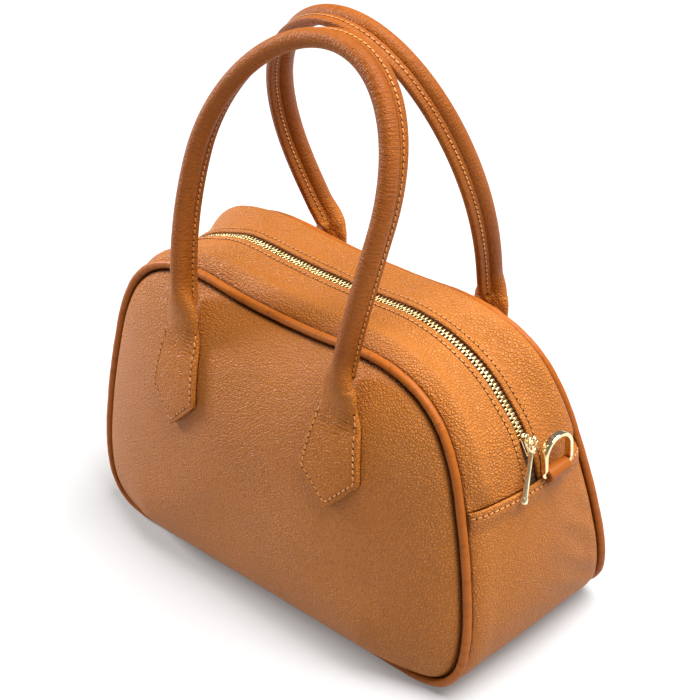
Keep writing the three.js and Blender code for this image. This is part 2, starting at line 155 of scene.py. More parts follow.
# Outline of the bag: rows run from the middle of the base round by the right end
def outline_at(row):
    row = np.mod(np.asarray(row, float), ROWS)
    i = np.floor(row).astype(int) % ROWS
    w = (row - np.floor(row))[..., None]
    p0, p1, p2, p3 = (LOOP_POINTS[(i + k) % ROWS] for k in (-1, 0, 1, 2))
    pairs = ((p0, p1), (p1, p2), (p2, p3))
    d0, d1, d2 = (np.linalg.norm(b - a, axis=-1, keepdims=True) ** 0.5 for a, b in pairs)
    t1 = ((p1 - p0) / d0 - (p2 - p0) / (d0 + d1) + (p2 - p1) / d1) * d1
    t2 = ((p2 - p1) / d1 - (p3 - p1) / (d1 + d2) + (p3 - p2) / d2) * d1
    p = p1 + t1 * w + (3 * p2 - 3 * p1 - 2 * t1 - t2) * w**2 + (2 * p1 - 2 * p2 + t1 + t2) * w**3
    p[..., 1] = np.maximum(p[..., 1], BASE_LEVEL)
    return p


def outward_at(row):
    along = outline_at(row + ROW_STEP) - outline_at(row - ROW_STEP)
    return unit(points(along[..., 1], -along[..., 0]))


def directions_at(row):
    """Directions along the gusset, across it and outwards."""
    out = outward_at(row)
    normal = points(out[..., 0], 0, out[..., 1])
    along = points(-out[..., 1], 0, out[..., 0])
    return along, np.cross(normal, along), normal


def half_depth(z):
    return lerp(HALF_DEPTH_AT_BASE, HALF_DEPTH_AT_TOP, z / TOP_LEVEL)


def edge_of(row):
    """Distance of the gusset's edges from the bag's middle plane."""
    return half_depth(outline_at(row)[..., 1]) - PIPING_RADIUS - GAP


def half_row(row):
    """The row counted from the base on its own half, and whether that is the right one."""
    turn = np.mod(row, ROWS)
    on_right = turn <= HALF_ROWS
    return np.where(on_right, turn, ROWS - turn), on_right


def swell_at(row):
    k, on_right = half_row(row)
    right, left = (smooth_table(HALF_MARKS, OUTLINE[:, column], k) for column in (2, 3))
    return np.where(on_right, right, left)


def gusset_point(row, share, rise):
    """A point of the wall between the panels; share is -1 at the front and 1 at the back."""
    row, share, rise = np.broadcast_arrays(row, share, rise)
    place, out = outline_at(row), outward_at(row)
    lifted = rise + swell_at(row) * (1 - share**2)
    x, z = np.moveaxis(place + out * lifted[..., None], -1, 0)
    return points(x, share * edge_of(row), z)


# Mesh helpers
def loft(sections, closed=False, cap="fan"):
    """Skin over closed sections, with a fan or a strip of faces at each open end."""
    sections = np.asarray(sections, float)
    n, k = sections.shape[:2]
    i = np.arange(n if closed else n - 1)[:, None]
    j = np.arange(k)
    after, beside = (i + 1) % n, (j + 1) % k
    quads = points(i * k + j, after * k + j, after * k + beside, i * k + beside)
    faces = quads.reshape(-1, 4).tolist()
    verts = sections.reshape(-1, 3)
    if closed:
        return verts, faces
    for start, turn in ((0, 1), ((n - 1) * k, -1)):
        if cap == "strip":
            for a in range(k // 2 - 1):
                face = [start + a, start + a + 1, start + k - 2 - a, start + k - 1 - a]
                faces.append(face[::turn])
        else:
            middle = len(verts)
            verts = np.vstack([verts, sections[start // k].mean(0)])
            for a in range(k):
                faces.append([middle, start + a, start + (a + 1) % k][::turn])
    return verts, faces


def strip(outer, inner):
    """A closed strip between its outer and its inner face."""
    return loft(np.hstack([outer, inner[:, ::-1]]), cap="strip")


def joined(meshes):
    verts, faces, count = [], [], 0
    for v, f in meshes:
        verts.append(v)
        faces += [[i + count for i in face] for face in f]
        count += len(v)
    return np.vstack(verts), faces


def faces_outward(verts, faces):
    """The faces, turned round if the closed mesh is inside out."""
    fans = [(face[0], *pair) for face in faces for pair in zip(face[1:], face[2:])]
    a, b, c = verts[np.transpose(fans)]
    return faces if np.sum(a * np.cross(b, c)) > 0 else [face[::-1] for face in faces]


def add_to_scene(name, data):
    thing = bpy.data.objects.new(name, data)
    bpy.context.scene.collection.objects.link(thing)
    return thing


def flow_on(line, around):
    """Lengths in metres along a line and around it, for the points of a loft."""
    return points(lengths_along(line)[:, None], around, 0).reshape(-1, 3) * MM


def new_piece(name, mesh, material, body="bag", node=None, flow=None, seam=None):
    """One closed mesh, with its flow and its painted seam shade, which is 1 inside a seam."""
    verts, faces = mesh
    data = bpy.data.meshes.new(name)
    data.from_pydata((verts * MM).tolist(), [], faces_outward(verts, faces))
    data.update()
    data.shade_smooth()
    data.materials.append(material)
    layers = (("flow", "FLOAT_VECTOR", "vector", flow), ("seam", "FLOAT", "value", seam))
    for label, kind, field, values in layers:
        if values is not None:
            padded = np.zeros((len(verts), *values.shape[1:]), np.float32)
            padded[: len(values)] = values
            data.attributes.new(label, kind, "POINT").data.foreach_set(field, padded.ravel())
    piece = add_to_scene(name, data)
    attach(piece, body)
    if node:
        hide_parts(node)


def bead(half_sizes, squareness=1.0, around=8, rings=5):
    """A rounded grain; squareness under 1 gives it flatter sides."""
    tilt = np.linspace(-pi / 2, pi / 2, rings + 2)[1:-1, None]
    turn = circle(around)
    x = power(np.sin(tilt), squareness)
    wide = power(np.cos(tilt), squareness)
    y = wide * power(np.cos(turn), squareness)
    z = wide * power(np.sin(turn), squareness)
    verts, faces = loft(points(x, y, z) * half_sizes)
    verts[-2:, 0] = (-half_sizes[0], half_sizes[0])
    return verts, faces


def copies(mesh, origins, along, across, normal):
    """A small mesh repeated at many places, each with its own directions."""
    verts, faces = mesh
    axes = np.stack([along, across, normal], 1)
    placed = origins[:, None, :] + np.einsum("vk,nkc->nvc", verts, axes)
    shifted = [[i + n * len(verts) for i in face] for n in range(len(origins)) for face in faces]
    return placed.reshape(-1, 3), shifted


def spaced(line, pitch):
    """Evenly spaced points on a line, and its directions there."""
    lengths = lengths_along(line)
    count = max(2, int(round(lengths[-1] / pitch)))
    at = (np.arange(count) + 0.5) * lengths[-1] / count
    step = pitch / 5
    ahead, behind = (read_between(at + way * step, lengths, line) for way in (1, -1))
    return read_between(at, lengths, line), unit(ahead - behind)


# Node helpers for materials
class Look:
    """A material made node by node; a socket takes a number, a colour or another socket."""

    def __init__(self, name):
        self.material = bpy.data.materials.new(name)
        self.material.use_nodes = True
        self.tree = self.material.node_tree
        self.shader = self.tree.nodes["Principled BSDF"]
        self.place = self.node("TexCoord", "Object")

    def put(self, socket, value):
        if isinstance(value, bpy.types.NodeSocket):
            self.tree.links.new(value, socket)
        else:
            socket.default_value = value

    def finish(self, **sockets):
        for name, value in sockets.items():
            self.put(self.shader.inputs[name.replace("_", " ")], value)
        return self.material

    def node(self, kind, out, settings=(), sockets=()):
        node = self.tree.nodes.new("ShaderNode" + kind)
        for name, value in dict(settings).items():
            setattr(node, name, value)
        for name, value in dict(sockets).items():
            self.put(node.inputs[name], value)
        return node.outputs[out]

    def attribute(self, name, out):
        return self.node("Attribute", out, {"attribute_name": name})

    def maths(self, operation, *values, kind="Math", out="Value"):
        return self.node(kind, out, {"operation": operation}, dict(enumerate(values)))

    def vectors(self, operation, *values):
        return self.maths(operation, *values, kind="VectorMath", out="Vector")

    def noise(self, vector, scale, detail=2.0, out="Fac"):
        return self.node("TexNoise", out, {}, {"Vector": vector, "Scale": scale, "Detail": detail})

    def warped(self, vector, scale, amount):
        stir = self.noise(vector, scale, 1.0, "Color")
        return self.vectors("MULTIPLY_ADD", stir, (amount,) * 3, vector)

    def cells(self, vector, scale):
        sockets = {"Vector": vector, "Scale": scale}
        return self.node("TexVoronoi", "Distance", {"feature": "DISTANCE_TO_EDGE"}, sockets)

    def ranged(self, value, low, high, to_low=0.0, to_high=1.0):
        sockets = {"Value": value, "From Min": low, "From Max": high, "To Min": to_low, "To Max": to_high}
        return self.node("MapRange", "Result", {"interpolation_type": "SMOOTHSTEP"}, sockets)

    def mixed(self, factor, a, b):
        return self.node("Mix", 2, {"data_type": "RGBA"}, {0: factor, 6: a, 7: b})

    def bump(self, height, strength, depth):
        sockets = {"Height": height, "Strength": strength, "Distance": depth}
        return self.node("Bump", "Normal", {}, sockets)


# Leather colours, linear
TAN = (0.408, 0.13, 0.016, 1)
TAN_LIGHT = (0.452, 0.149, 0.021, 1)
TAB_TONES = ((0.41, 0.129, 0.016, 1), (0.45, 0.146, 0.02, 1))
TRIM_TONES = ((0.31, 0.08, 0.008, 1), (0.36, 0.098, 0.011, 1))
ROLL_TONES = ((0.215, 0.054, 0.0045, 1), (0.272, 0.073, 0.007, 1))
# Painted shade in the furrows of the grain and in the creases
CREASE = (0.15, 0.034, 0.003, 1)
# Painted shade inside seams: beside the piping, under the folded lips and along the tabs' edges
PAINTED_SEAM_SHADE = (0.045, 0.011, 0.002, 1)

# Parts of a pattern's range that a change of look is spread over
TONE_RANGE = (0.35, 0.65)
FINE_RANGE = (0.3, 0.7)
FURROW_RANGE = (0.0, 0.17)
SEAM_RANGE = (0.15, 0.9)

# Levels in metres between which a tab's look turns into the roll's
TAB_FADE = (0.152, 0.182)

# Scales of the noise, per metre, and the reach of the noise that stirs the pebbles
PEBBLES = Values(stir=(420, 0.0007), wide_stir=(90, 0.0012), fine=2300, patches=16, tone=7.5)
CREASES = Values(stir=(420, 0.0008), pebbles=620, fine=2600, tone=11)

# Heights of creases and pebbles on a roll and on a tab, as shares of a look's depth
CREASE_HEIGHT = Values(roll=2.2, tab=0.5)
PEBBLE_HEIGHT = Values(roll=0.35, tab=1.0)


def pebbled_leather(name, grain_per_metre, depth):
    look = Look(name)
    stirred = look.warped(look.warped(look.place, *PEBBLES.stir), *PEBBLES.wide_stir)
    edge = look.cells(stirred, grain_per_metre)
    fine = look.noise(look.place, PEBBLES.fine, 3.0)
    height = look.maths("MULTIPLY_ADD", fine, 0.12, look.ranged(edge, 0.0, 0.32))
    strength = look.ranged(look.noise(look.place, PEBBLES.patches), *FINE_RANGE, 0.6, 1.0)
    tone = look.ranged(look.noise(look.place, PEBBLES.tone, 3.0), *TONE_RANGE)
    # Painted shade in the furrows between the pebbles
    furrow_shade = look.ranged(edge, *FURROW_RANGE, 0.42, 0.0)
    colour = look.mixed(furrow_shade, look.mixed(tone, TAN, TAN_LIGHT), CREASE)
    # The seam attribute paints shade inside seams: it darkens the colour and dims the reflection there
    seam = look.attribute("seam", "Fac")
    return look.finish(
        Base_Color=look.mixed(look.ranged(seam, *SEAM_RANGE, 0.0, 0.9), colour, PAINTED_SEAM_SHADE),
        Roughness=look.ranged(fine, *FINE_RANGE, 0.44, 0.56),
        Normal=look.bump(height, strength, depth),
        Specular_IOR_Level=look.ranged(seam, *SEAM_RANGE, 0.25, 0.03),
    )


def creased_leather(name, stretch, depth, tones, tab_tones=None):
    """Leather round a roll, with fine creases across it; a handle's tabs stay pebbled."""
    look = Look(name)
    edge = look.cells(look.warped(look.place, *CREASES.stir), CREASES.pebbles)
    pebble = look.ranged(edge, 0.0, 0.3)
    flow, seam = look.attribute("flow", "Vector"), look.attribute("seam", "Fac")
    creases = look.noise(look.vectors("MULTIPLY", flow, stretch), 1.0, 4.0)
    fine = look.noise(look.place, CREASES.fine)
    tone = look.ranged(look.noise(look.place, CREASES.tone, 3.0), *TONE_RANGE)
    colour = look.mixed(tone, *tones)
    # Painted shade in the creases across the roll
    furrow_shade = look.ranged(creases, 0.3, 0.5, 0.4, 0.0)
    crease_height, pebble_height = CREASE_HEIGHT.roll, PEBBLE_HEIGHT.roll
    if tab_tones is not None:
        level = look.node("SeparateXYZ", "Z", {}, {"Vector": look.place})
        rolled = look.ranged(level, *TAB_FADE)
        colour = look.mixed(rolled, look.mixed(tone, *tab_tones), colour)
        crease_height = look.ranged(level, *TAB_FADE, CREASE_HEIGHT.tab, crease_height)
        pebble_height = look.ranged(level, *TAB_FADE, PEBBLE_HEIGHT.tab, pebble_height)
        # On a tab, painted shade in the furrows of its grain instead
        furrow_shade = look.mixed(rolled, look.ranged(edge, *FURROW_RANGE, 0.4, 0.0), furrow_shade)
    colour = look.mixed(furrow_shade, colour, CREASE)
    grain = look.maths("MULTIPLY", pebble, pebble_height)
    height = look.maths("MULTIPLY_ADD", creases, crease_height, grain)
    # Painted shade where the seam attribute is high, on the tabs' edges next to the panel
    return look.finish(
        Base_Color=look.mixed(look.ranged(seam, 0.1, 0.9, 0.0, 0.9), colour, PAINTED_SEAM_SHADE),
        Roughness=look.ranged(fine, *FINE_RANGE, 0.36, 0.5),
        Normal=look.bump(height, 0.7, depth),
        Specular_IOR_Level=0.15,
    )


def polished_gold(name, base, shade, *roughness):
    look = Look(name)
    cloud = look.noise(look.place, 160, 3.0)
    scratch = look.noise(look.vectors("MULTIPLY", look.place, (900, 900, 4200)), 1.0)
    return look.finish(
        Base_Color=look.mixed(look.ranged(cloud, 0.35, 0.7), base, shade),
        Metallic=1.0,
        Roughness=look.ranged(scratch, *FINE_RANGE, *roughness),
        Normal=look.bump(cloud, 0.12, 0.0002),
    )


def sewing_thread():
    look = Look("sewing_thread")
    twist = look.noise(look.place, 5200)
    pale, deep = (0.55, 0.23, 0.06, 1), (0.4, 0.145, 0.03, 1)
    return look.finish(
        Base_Color=look.mixed(look.ranged(look.noise(look.place, 60, 1.0), *TONE_RANGE), deep, pale),
        Roughness=look.ranged(twist, *FINE_RANGE, 0.38, 0.6),
        Normal=look.bump(twist, 0.5, 0.0001),
    )


# Needle holes: small dark spots of painted shade where the thread goes into the leather
def needle_hole_shade():
    look = Look("needle_hole_shade")
    fine = look.noise(look.place, 1800)
    colour = look.mixed(fine, (0.03, 0.009, 0.002, 1), (0.085, 0.026, 0.006, 1))
    rough = look.ranged(fine, *FINE_RANGE, 0.7, 0.95)
    return look.finish(Base_Color=colour, Roughness=rough, Specular_IOR_Level=0.03)


def woven_tape():
    look = Look("woven_tape")
    ribs = look.node("TexWave", "Fac", {}, {"Vector": look.place, "Scale": 420.0, "Distortion": 0.6})
    cross = look.node("TexWave", "Fac", {"bands_direction": "Y"}, {"Vector": look.place, "Scale": 380.0})
    weave = look.maths("MULTIPLY", ribs, cross)
    return look.finish(
        Base_Color=look.mixed(weave, (0.06, 0.026, 0.01, 1), (0.24, 0.105, 0.036, 1)),
        Roughness=look.ranged(weave, 0.0, 1.0, 0.9, 0.7),
        Normal=look.bump(weave, 0.6, 0.0003),
    )


LEATHER = pebbled_leather("pebbled_leather", 640, 0.0005)
TRIM = creased_leather("trim_leather", (300, 60, 0), 0.00016, TRIM_TONES)
HANDLE = creased_leather("handle_leather", (900, 170, 0), 0.0006, ROLL_TONES, TAB_TONES)
GOLD = polished_gold("polished_gold", (0.93, 0.81, 0.54, 1), (0.85, 0.68, 0.38, 1), 0.08, 0.17)
SATIN = polished_gold("satin_gold", (0.95, 0.83, 0.56, 1), (0.88, 0.72, 0.42, 1), 0.22, 0.34)
TEETH = polished_gold("zip_gold", (0.86, 0.69, 0.36, 1), (0.66, 0.47, 0.2, 1), 0.2, 0.34)
THREAD = sewing_thread()
HOLE = needle_hole_shade()
TAPE = woven_tape()


# Panels: a bulging skin that rolls into the seam beside the piping
PANEL_STATIONS = 224
PANEL_RINGS = 46
INNER_RING = 0.02
RING_CROWDING = 1.7
SEAM_OFFSET = PIPING_RADIUS + GAP
BELLY = Values(rise=4.6, levels=(14, 60), ends=(80, 115), roundness=14, fullness=0.6)
SEAM_PULL = (1.4, 1, 0.016)
# Width of the painted shade beside a seam
PAINTED_SHADE_WIDTH = 1.5
PANEL_REACH = 105.0
EDGE_ROLL = ((0.12, 0.3), (0.22, 0.8), (0.27, 1.5), (0.2, 2.1))

# Dents: depth, and the lengths of the waves along x and z
WIDE_DENTS = (0.55, 29, 24)
SLANT_DENTS = (0.3, 13, 17)


def edge_at(row):
    return outline_at(row) - SEAM_OFFSET * outward_at(row)


EDGE_POLAR = edge_at(np.linspace(0, ROWS, 1120, endpoint=False)) - (0, PANEL_MIDDLE_Z)
EDGE_TURNS = np.arctan2(EDGE_POLAR[:, 1], EDGE_POLAR[:, 0])
EDGE_REACH = np.linalg.norm(EDGE_POLAR, axis=1)


# Painted shade beside a seam, fading over its width
def painted_seam_shade(distance):
    return hill(distance, 1, 0, PAINTED_SHADE_WIDTH)


def dents(x, z):
    """Shallow hollows of the soft leather."""
    wide, wide_x, wide_z = WIDE_DENTS
    slant, slant_x, slant_z = SLANT_DENTS
    waves = wide * np.sin(x / wide_x + 0.8) * np.sin(z / wide_z + 0.5)
    return waves + slant * np.sin(x / slant_x - z / slant_z + 1.9)


def belly_at(ring, x, z):
    """Soft leather that hangs a little over the lower seam."""
    low = 1 - smooth(z, *BELLY.levels)
    middle = 1 - smooth(np.abs(x), *BELLY.ends)
    full = np.maximum(0, 1 - ring ** BELLY.roundness) ** BELLY.fullness
    return BELLY.rise * low * middle * full


def bulge_at(ring, x, z):
    full = PANEL_BULGE * np.maximum(0, 1 - ring**BULGE_ROUNDNESS) ** BULGE_FULLNESS
    full = full + belly_at(ring, x, z) - hill(ring, *SEAM_PULL)
    return half_depth(z) + full + PANEL_WALL / 2 + dents(x, z) * np.maximum(0, 1 - ring**2) ** 2


def panel_face(x, z):
    """Distance of a panel's outer face from the bag's middle plane."""
    turn = np.arctan2(z - PANEL_MIDDLE_Z, x)
    reach = np.interp(turn, EDGE_TURNS, EDGE_REACH, period=2 * pi)
    ring = np.minimum(1, np.hypot(x, z - PANEL_MIDDLE_Z) / reach)
    return bulge_at(ring, x, z)


def panel(side):
    rows = np.linspace(0, ROWS, PANEL_STATIONS, endpoint=False)
    edge, out = edge_at(rows), outward_at(rows)
    rings = 1 - (1 - np.linspace(INNER_RING, 1, PANEL_RINGS)[:, None]) ** RING_CROWDING
    x, z = rings * edge[:, 0], lerp(PANEL_MIDDLE_Z, edge[:, 1], rings)
    face = bulge_at(rings, x, z)
    outwards, sink = np.array(EDGE_ROLL).T[:, :, None]
    roll_x, roll_z = (edge[:, k] + out[:, k] * outwards for k in (0, 1))
    roll_face = half_depth(edge[:, 1]) + PANEL_WALL / 2 - SEAM_PULL[0] - sink
    outer, inner = points(x, side * face, z), points(x, side * (face - PANEL_WALL), z)
    rolled = points(roll_x, side * roll_face, roll_z)
    # Painted shade: dark beside the piping, and all over the edge that rolls into the seam
    shade = np.vstack([painted_seam_shade((1 - rings) * PANEL_REACH), np.ones_like(sink), np.zeros_like(rings)])
    return loft(np.vstack([outer, rolled, inner[::-1]])), np.repeat(shade, PANEL_STATIONS)


# Piping: a soft cord in leather along each panel, its radius wavering a little
PIPING_STEPS = 392
PIPING_SIDES = 18
SLOW_WAVER = (0.018, 9.3)
QUICK_WAVER = (0.012, 23.1)


def piping(side):
    rows = np.linspace(0, ROWS, PIPING_STEPS, endpoint=False)
    centre, out = outline_at(rows), outward_at(rows)
    turn = circle(PIPING_SIDES)
    waver = 1 + wave(rows, *SLOW_WAVER, side) + wave(rows, *QUICK_WAVER, 2)
    radius = PIPING_RADIUS * waver[:, None]
    reach = radius * np.cos(turn)
    x = centre[:, :1] + out[:, :1] * reach
    z = centre[:, 1:] + out[:, 1:] * reach
    y = side * half_depth(centre[:, 1:]) + radius * np.sin(turn)
    return loft(points(x, y, z), closed=True), flow_on(centre, turn * PIPING_RADIUS)


for name, side in SIDES:
    mesh, seam = panel(side)
    new_piece("panel_skin_" + name, mesh, LEATHER, node=name + "_panel", seam=seam)
    mesh, flow = piping(side)
    new_piece("piping_cord_" + name, mesh, TRIM, node=name + "_piping", flow=flow)


# Seams between the lower and the top gusset dip a little in the middle
SEAM_DIP = 0.03
SEAM_DIP_FADE = 1.5


def dipped(row, share):
    fade_right = np.maximum(0, 1 - np.abs(row - SEAM_ROW) / SEAM_DIP_FADE)
    fade_left = np.maximum(0, 1 - np.abs(np.mod(row, ROWS) - LEFT_SEAM) / SEAM_DIP_FADE)
    return row + SEAM_DIP * (1 - share**2) * (fade_left - fade_right)


# Lower gusset: right end, flat base and left end in one strip, with folded top edges
LOWER_ROWS = 160
LOWER_COLUMNS = 48
LOWER_CROWDING = 0.8
LIP_ZONE = 0.4
LIP_FINE_ROWS = 44
LIP_FADE = (0.1, 0.34)
LIP_OUTER = 1.7
LIP_INNER = 1.75
LIP_ROUND = np.array([(0.008, 0.86), (0.014, 0.6), (0.018, 0.25)])
LIP_STITCH = 2.9
ROW_LENGTH = 35.0
BASE_SHARPNESS = 4

# Soft shapes beside a piping or a stitched line: height, distance from it and width
PIPING_DIP = (1.9, 0, 2.2)
LOWER_RIDGE = (0.7, 8, 5)
LIP_GROOVE = (0.3, LIP_STITCH, 0.8)

# Faint slanting folds on the right end, where the leather is pulled to the lower corner
FOLD_WAVES = (0.42, 9.5)
FOLD_SLANT = 14
FOLD_ROWS = (3.2, 4.6, 5.9, 6.7)
FOLD_SHARES = (-0.1, 0.55, 0.8, 1.0)


def end_folds(row, share):
    waves = wave(row, *FOLD_WAVES, share * FOLD_SLANT)
    return waves * between(row, *FOLD_ROWS) * between(share, *FOLD_SHARES)


def piping_distance(row, share):
    return (1 - np.abs(share)) * edge_of(row)


def lip_at(row):
    """1 on the folded top edges, 0 below them."""
    return 1 - smooth(SEAM_ROW - np.abs(row), *LIP_FADE)


def lower_rise(row, share):
    """Height of the lower gusset's outer face above the outline."""
    down = np.maximum(0, -outward_at(row)[..., 1]) ** BASE_SHARPNESS
    from_piping = piping_distance(row, share)
    from_seam = (SEAM_ROW - np.abs(row)) * ROW_LENGTH
    soft = hill(from_piping, *LOWER_RIDGE) - hill(from_piping, *PIPING_DIP)
    soft = soft + end_folds(row, share) - hill(from_seam, *LIP_GROOVE)
    return LOWER_FACE + (BASE_LEVEL - LOWER_FACE) * down + soft * (1 - down) + LIP_OUTER * lip_at(row)


def lower_gusset():
    fine = np.linspace(SEAM_ROW - LIP_ZONE, SEAM_ROW, LIP_FINE_ROWS)[1:]
    plain = np.linspace(-SEAM_ROW + LIP_ZONE, SEAM_ROW - LIP_ZONE, LOWER_ROWS)
    beyond, rounded = LIP_ROUND.T
    end = np.r_[fine, SEAM_ROW + beyond]
    rows = np.r_[-end[::-1], plain, end]
    full = np.ones(len(rows) - 2 * len(rounded))
    thin = np.r_[rounded[::-1], full, rounded][:, None]
    even = np.linspace(-1, 1, LOWER_COLUMNS)
    shares = lerp(even, np.sin(even * pi / 2), LOWER_CROWDING)
    row, share = np.meshgrid(rows, shares, indexing="ij")
    wall = WALL - (LIP_INNER - LIP_OUTER) * lip_at(row)
    middle = lower_rise(np.clip(row, -SEAM_ROW, SEAM_ROW), share) - wall / 2
    at, half = dipped(row, share), wall / 2 * thin
    outer = gusset_point(at, share, middle + half)
    inner = gusset_point(at, share, middle - half)
    outer[..., 2] = np.maximum(outer[..., 2], 0)
    # Painted shade beside the piping
    shade = np.hstack([painted_seam_shade(piping_distance(row, share)), np.zeros_like(share)])
    return strip(outer, inner), shade.ravel()


mesh, seam = lower_gusset()
new_piece("gusset_skin_lower", mesh, LEATHER, node="lower_gusset", seam=seam)

# Top gusset: a strip on each side of the zip, tucked under the lower gusset at both ends
TOP_ROWS = 300
TOP_COLUMNS = 46
TOP_CROWDING = 0.35
UNDER_SEAM = 0.23
TUCK_DEPTH = 1.6
TUCK_ROWS = (-0.2, -0.03)
SOFT_FROM = (-0.1, 0.5)
ZIP_STITCH = 3.6
ZIP_GROOVE = (0.35, ZIP_STITCH, 0.7)
ZIP_FOLD = 0.3
ZIP_FOLD_FADE = (2.5, 5.5)
ZIP_LIP = 0.9
ZIP_LIP_TURNS = (30, 60, 90)
UNDER_LIP = (0.45, 0.25, 0.05)

# Ridge beside the piping: height, distance from the piping, and widths towards piping and zip
RIDGE = {-1: (3.0, 8.5, 5.0, 5.0), 1: (5.2, 6.5, 4.5, 11.0)}

# Added to the ridge at the shoulders of the bag, and the row and width of a shoulder
SHOULDER_RIDGE = {-1: 0.0, 1: 2.4}
SHOULDER = (9.6, 1.4)


def ridge_at(row, from_piping, side):
    """The soft ridge; on the back strip it hides the piping from the front."""
    rise, middle, to_piping, to_zip = RIDGE[side]
    rise = rise + hill(np.minimum(row, ROWS - row), SHOULDER_RIDGE[side], *SHOULDER)
    return hill(from_piping, rise, middle, np.where(from_piping < middle, to_piping, to_zip))


def from_ends(row):
    """Rows from the nearer seam, under 0 where a strip runs on beneath it."""
    return np.minimum(row - SEAM_ROW, LEFT_SEAM - row)


def tuck_at(row):
    return TUCK_DEPTH * (1 - smooth(from_ends(row), *TUCK_ROWS))


def top_rise(row, y, side):
    """Height of a strip's outer face above the outline, at a distance y from the zip."""
    from_piping, from_slot = edge_of(row) - y, y - SLOT_HALF
    soft = ridge_at(row, from_piping, side) - hill(from_piping, *PIPING_DIP)
    soft = soft + ZIP_FOLD * (1 - smooth(from_slot, *ZIP_FOLD_FADE)) - hill(from_slot, *ZIP_GROOVE)
    return TOP_FACE + soft * smooth(from_ends(row), *SOFT_FROM) - tuck_at(row)


def top_point(row, y, side, sink=0.0):
    share = y / edge_of(row)
    return gusset_point(dipped(row, share), side * share, top_rise(row, y, side) - sink)


def top_gusset(side):
    rows = np.linspace(SEAM_ROW - UNDER_SEAM, LEFT_SEAM + UNDER_SEAM, TOP_ROWS)[:, None]
    edge = edge_of(rows)
    across = np.linspace(0, 1, TOP_COLUMNS)
    across = across - TOP_CROWDING * np.sin(2 * pi * across) / pi
    y = lerp(edge, SLOT_HALF + ZIP_LIP, across)
    turn = np.radians(ZIP_LIP_TURNS)
    lip = np.tile(SLOT_HALF + ZIP_LIP * (1 - np.sin(turn)), (TOP_ROWS, 1))
    under = np.tile(np.add(SLOT_HALF, UNDER_LIP), (TOP_ROWS, 1))
    sink = np.pad(ZIP_LIP * (1 - np.cos(turn)), (TOP_COLUMNS, 0))
    outer = top_point(rows, np.hstack([y, lip]), side, sink)
    inner = top_point(rows, np.hstack([y, under]), side, WALL)
    # Painted shade beside the piping, and a painted shadow under the lower gusset's folded lip
    from_seam = np.maximum(0, from_ends(rows)) * ROW_LENGTH
    shade = np.maximum(painted_seam_shade(edge - y), painted_seam_shade(from_seam))
    rest = np.zeros((TOP_ROWS, lip.shape[1] + inner.shape[1]))
    return strip(outer, inner), np.hstack([shade, rest]).ravel()


for name, side in SIDES:
    mesh, seam = top_gusset(side)
    new_piece("gusset_skin_" + name, mesh, LEATHER, node="top_gusset_" + name, seam=seam)

# Zip: woven tape, two rows of interlocking teeth
TAPE_RISE = TOP_FACE - WALL - GAP
TAPE_THICKNESS = 0.8
TAPE_REACH = 13.0
TAPE_UNDER_SEAM = 0.1
TAPE_ROWS = 180
TAPE_COLUMNS = 27
TOOTH = bead((0.66, 1.6, 0.82), squareness=0.45, around=12, rings=7)
TOOTH_PITCH = 2.4
TOOTH_MIDDLE = 1.0
TOOTH_RISE = -0.75
SLIDER_ROW = 7.78
TEETH_FROM = SLIDER_ROW + 0.1
ZIP_ROWS = np.linspace(SEAM_ROW, LEFT_SEAM, 1401)
ZIP_LENGTHS = lengths_along(gusset_point(ZIP_ROWS, 0, 0))


def zip_tape():
    rows = np.linspace(SEAM_ROW - TAPE_UNDER_SEAM, LEFT_SEAM + TAPE_UNDER_SEAM, TAPE_ROWS)[:, None]
    share = np.linspace(-TAPE_REACH, TAPE_REACH, TAPE_COLUMNS) / edge_of(rows)
    rise = TAPE_RISE - tuck_at(rows)
    at = dipped(rows, share)
    return strip(gusset_point(at, share, rise), gusset_point(at, share, rise - TAPE_THICKNESS))


def zip_teeth():
    """The two rows of teeth, half a pitch apart."""
    start = np.interp(TEETH_FROM, ZIP_ROWS, ZIP_LENGTHS)
    for side in (-1, 1):
        at = np.arange(start + (side + 1) * TOOTH_PITCH / 4, ZIP_LENGTHS[-1], TOOTH_PITCH)
        row = np.interp(at, ZIP_LENGTHS, ZIP_ROWS)
        share = side * TOOTH_MIDDLE / edge_of(row)
        yield copies(TOOTH, gusset_point(row, share, TOOTH_RISE), *directions_at(row))


new_piece("zip_weave", zip_tape(), TAPE, node="zip_tape")
new_piece("zip_teeth", joined(zip_teeth()), TEETH, node="zip_chain")


# Hardware: its seat on the gusset, and the shapes it is made of
def seat(row, lift):
    """Where a piece sits on an end, and its directions up, across and outwards."""
    along, _, normal = directions_at(row)
    up = along if along[2] > 0 else -along
    k, on_right = half_row(row)
    swell = np.interp(k, HALF_MARKS, OUTLINE[:, 2 if on_right else 3])
    x, z = outline_at(row)
    origin = np.array([x, 0, z]) + normal * (TOP_FACE + lift + swell)
    return origin, np.stack([up, np.cross(normal, up), normal])


def seated(mesh, origin, axes):
    verts, faces = mesh
    return origin + verts @ axes, faces


def plate(outline, low, high, bevel):
    """A plate with rounded edges over a flat outline."""
    ahead = ahead_on(outline)
    inwards = points(-ahead[:, 1], ahead[:, 0])
    sections = []
    turns = np.linspace(0, pi / 2, 4)
    for height, sign, order in ((low + bevel, -1, turns[::-1]), (high - bevel, 1, turns)):
        for turn in order:
            x, y = (outline + inwards * bevel * (1 - cos(turn))).T
            sections.append(points(x, y, height + sign * bevel * sin(turn)))
    return loft(sections)


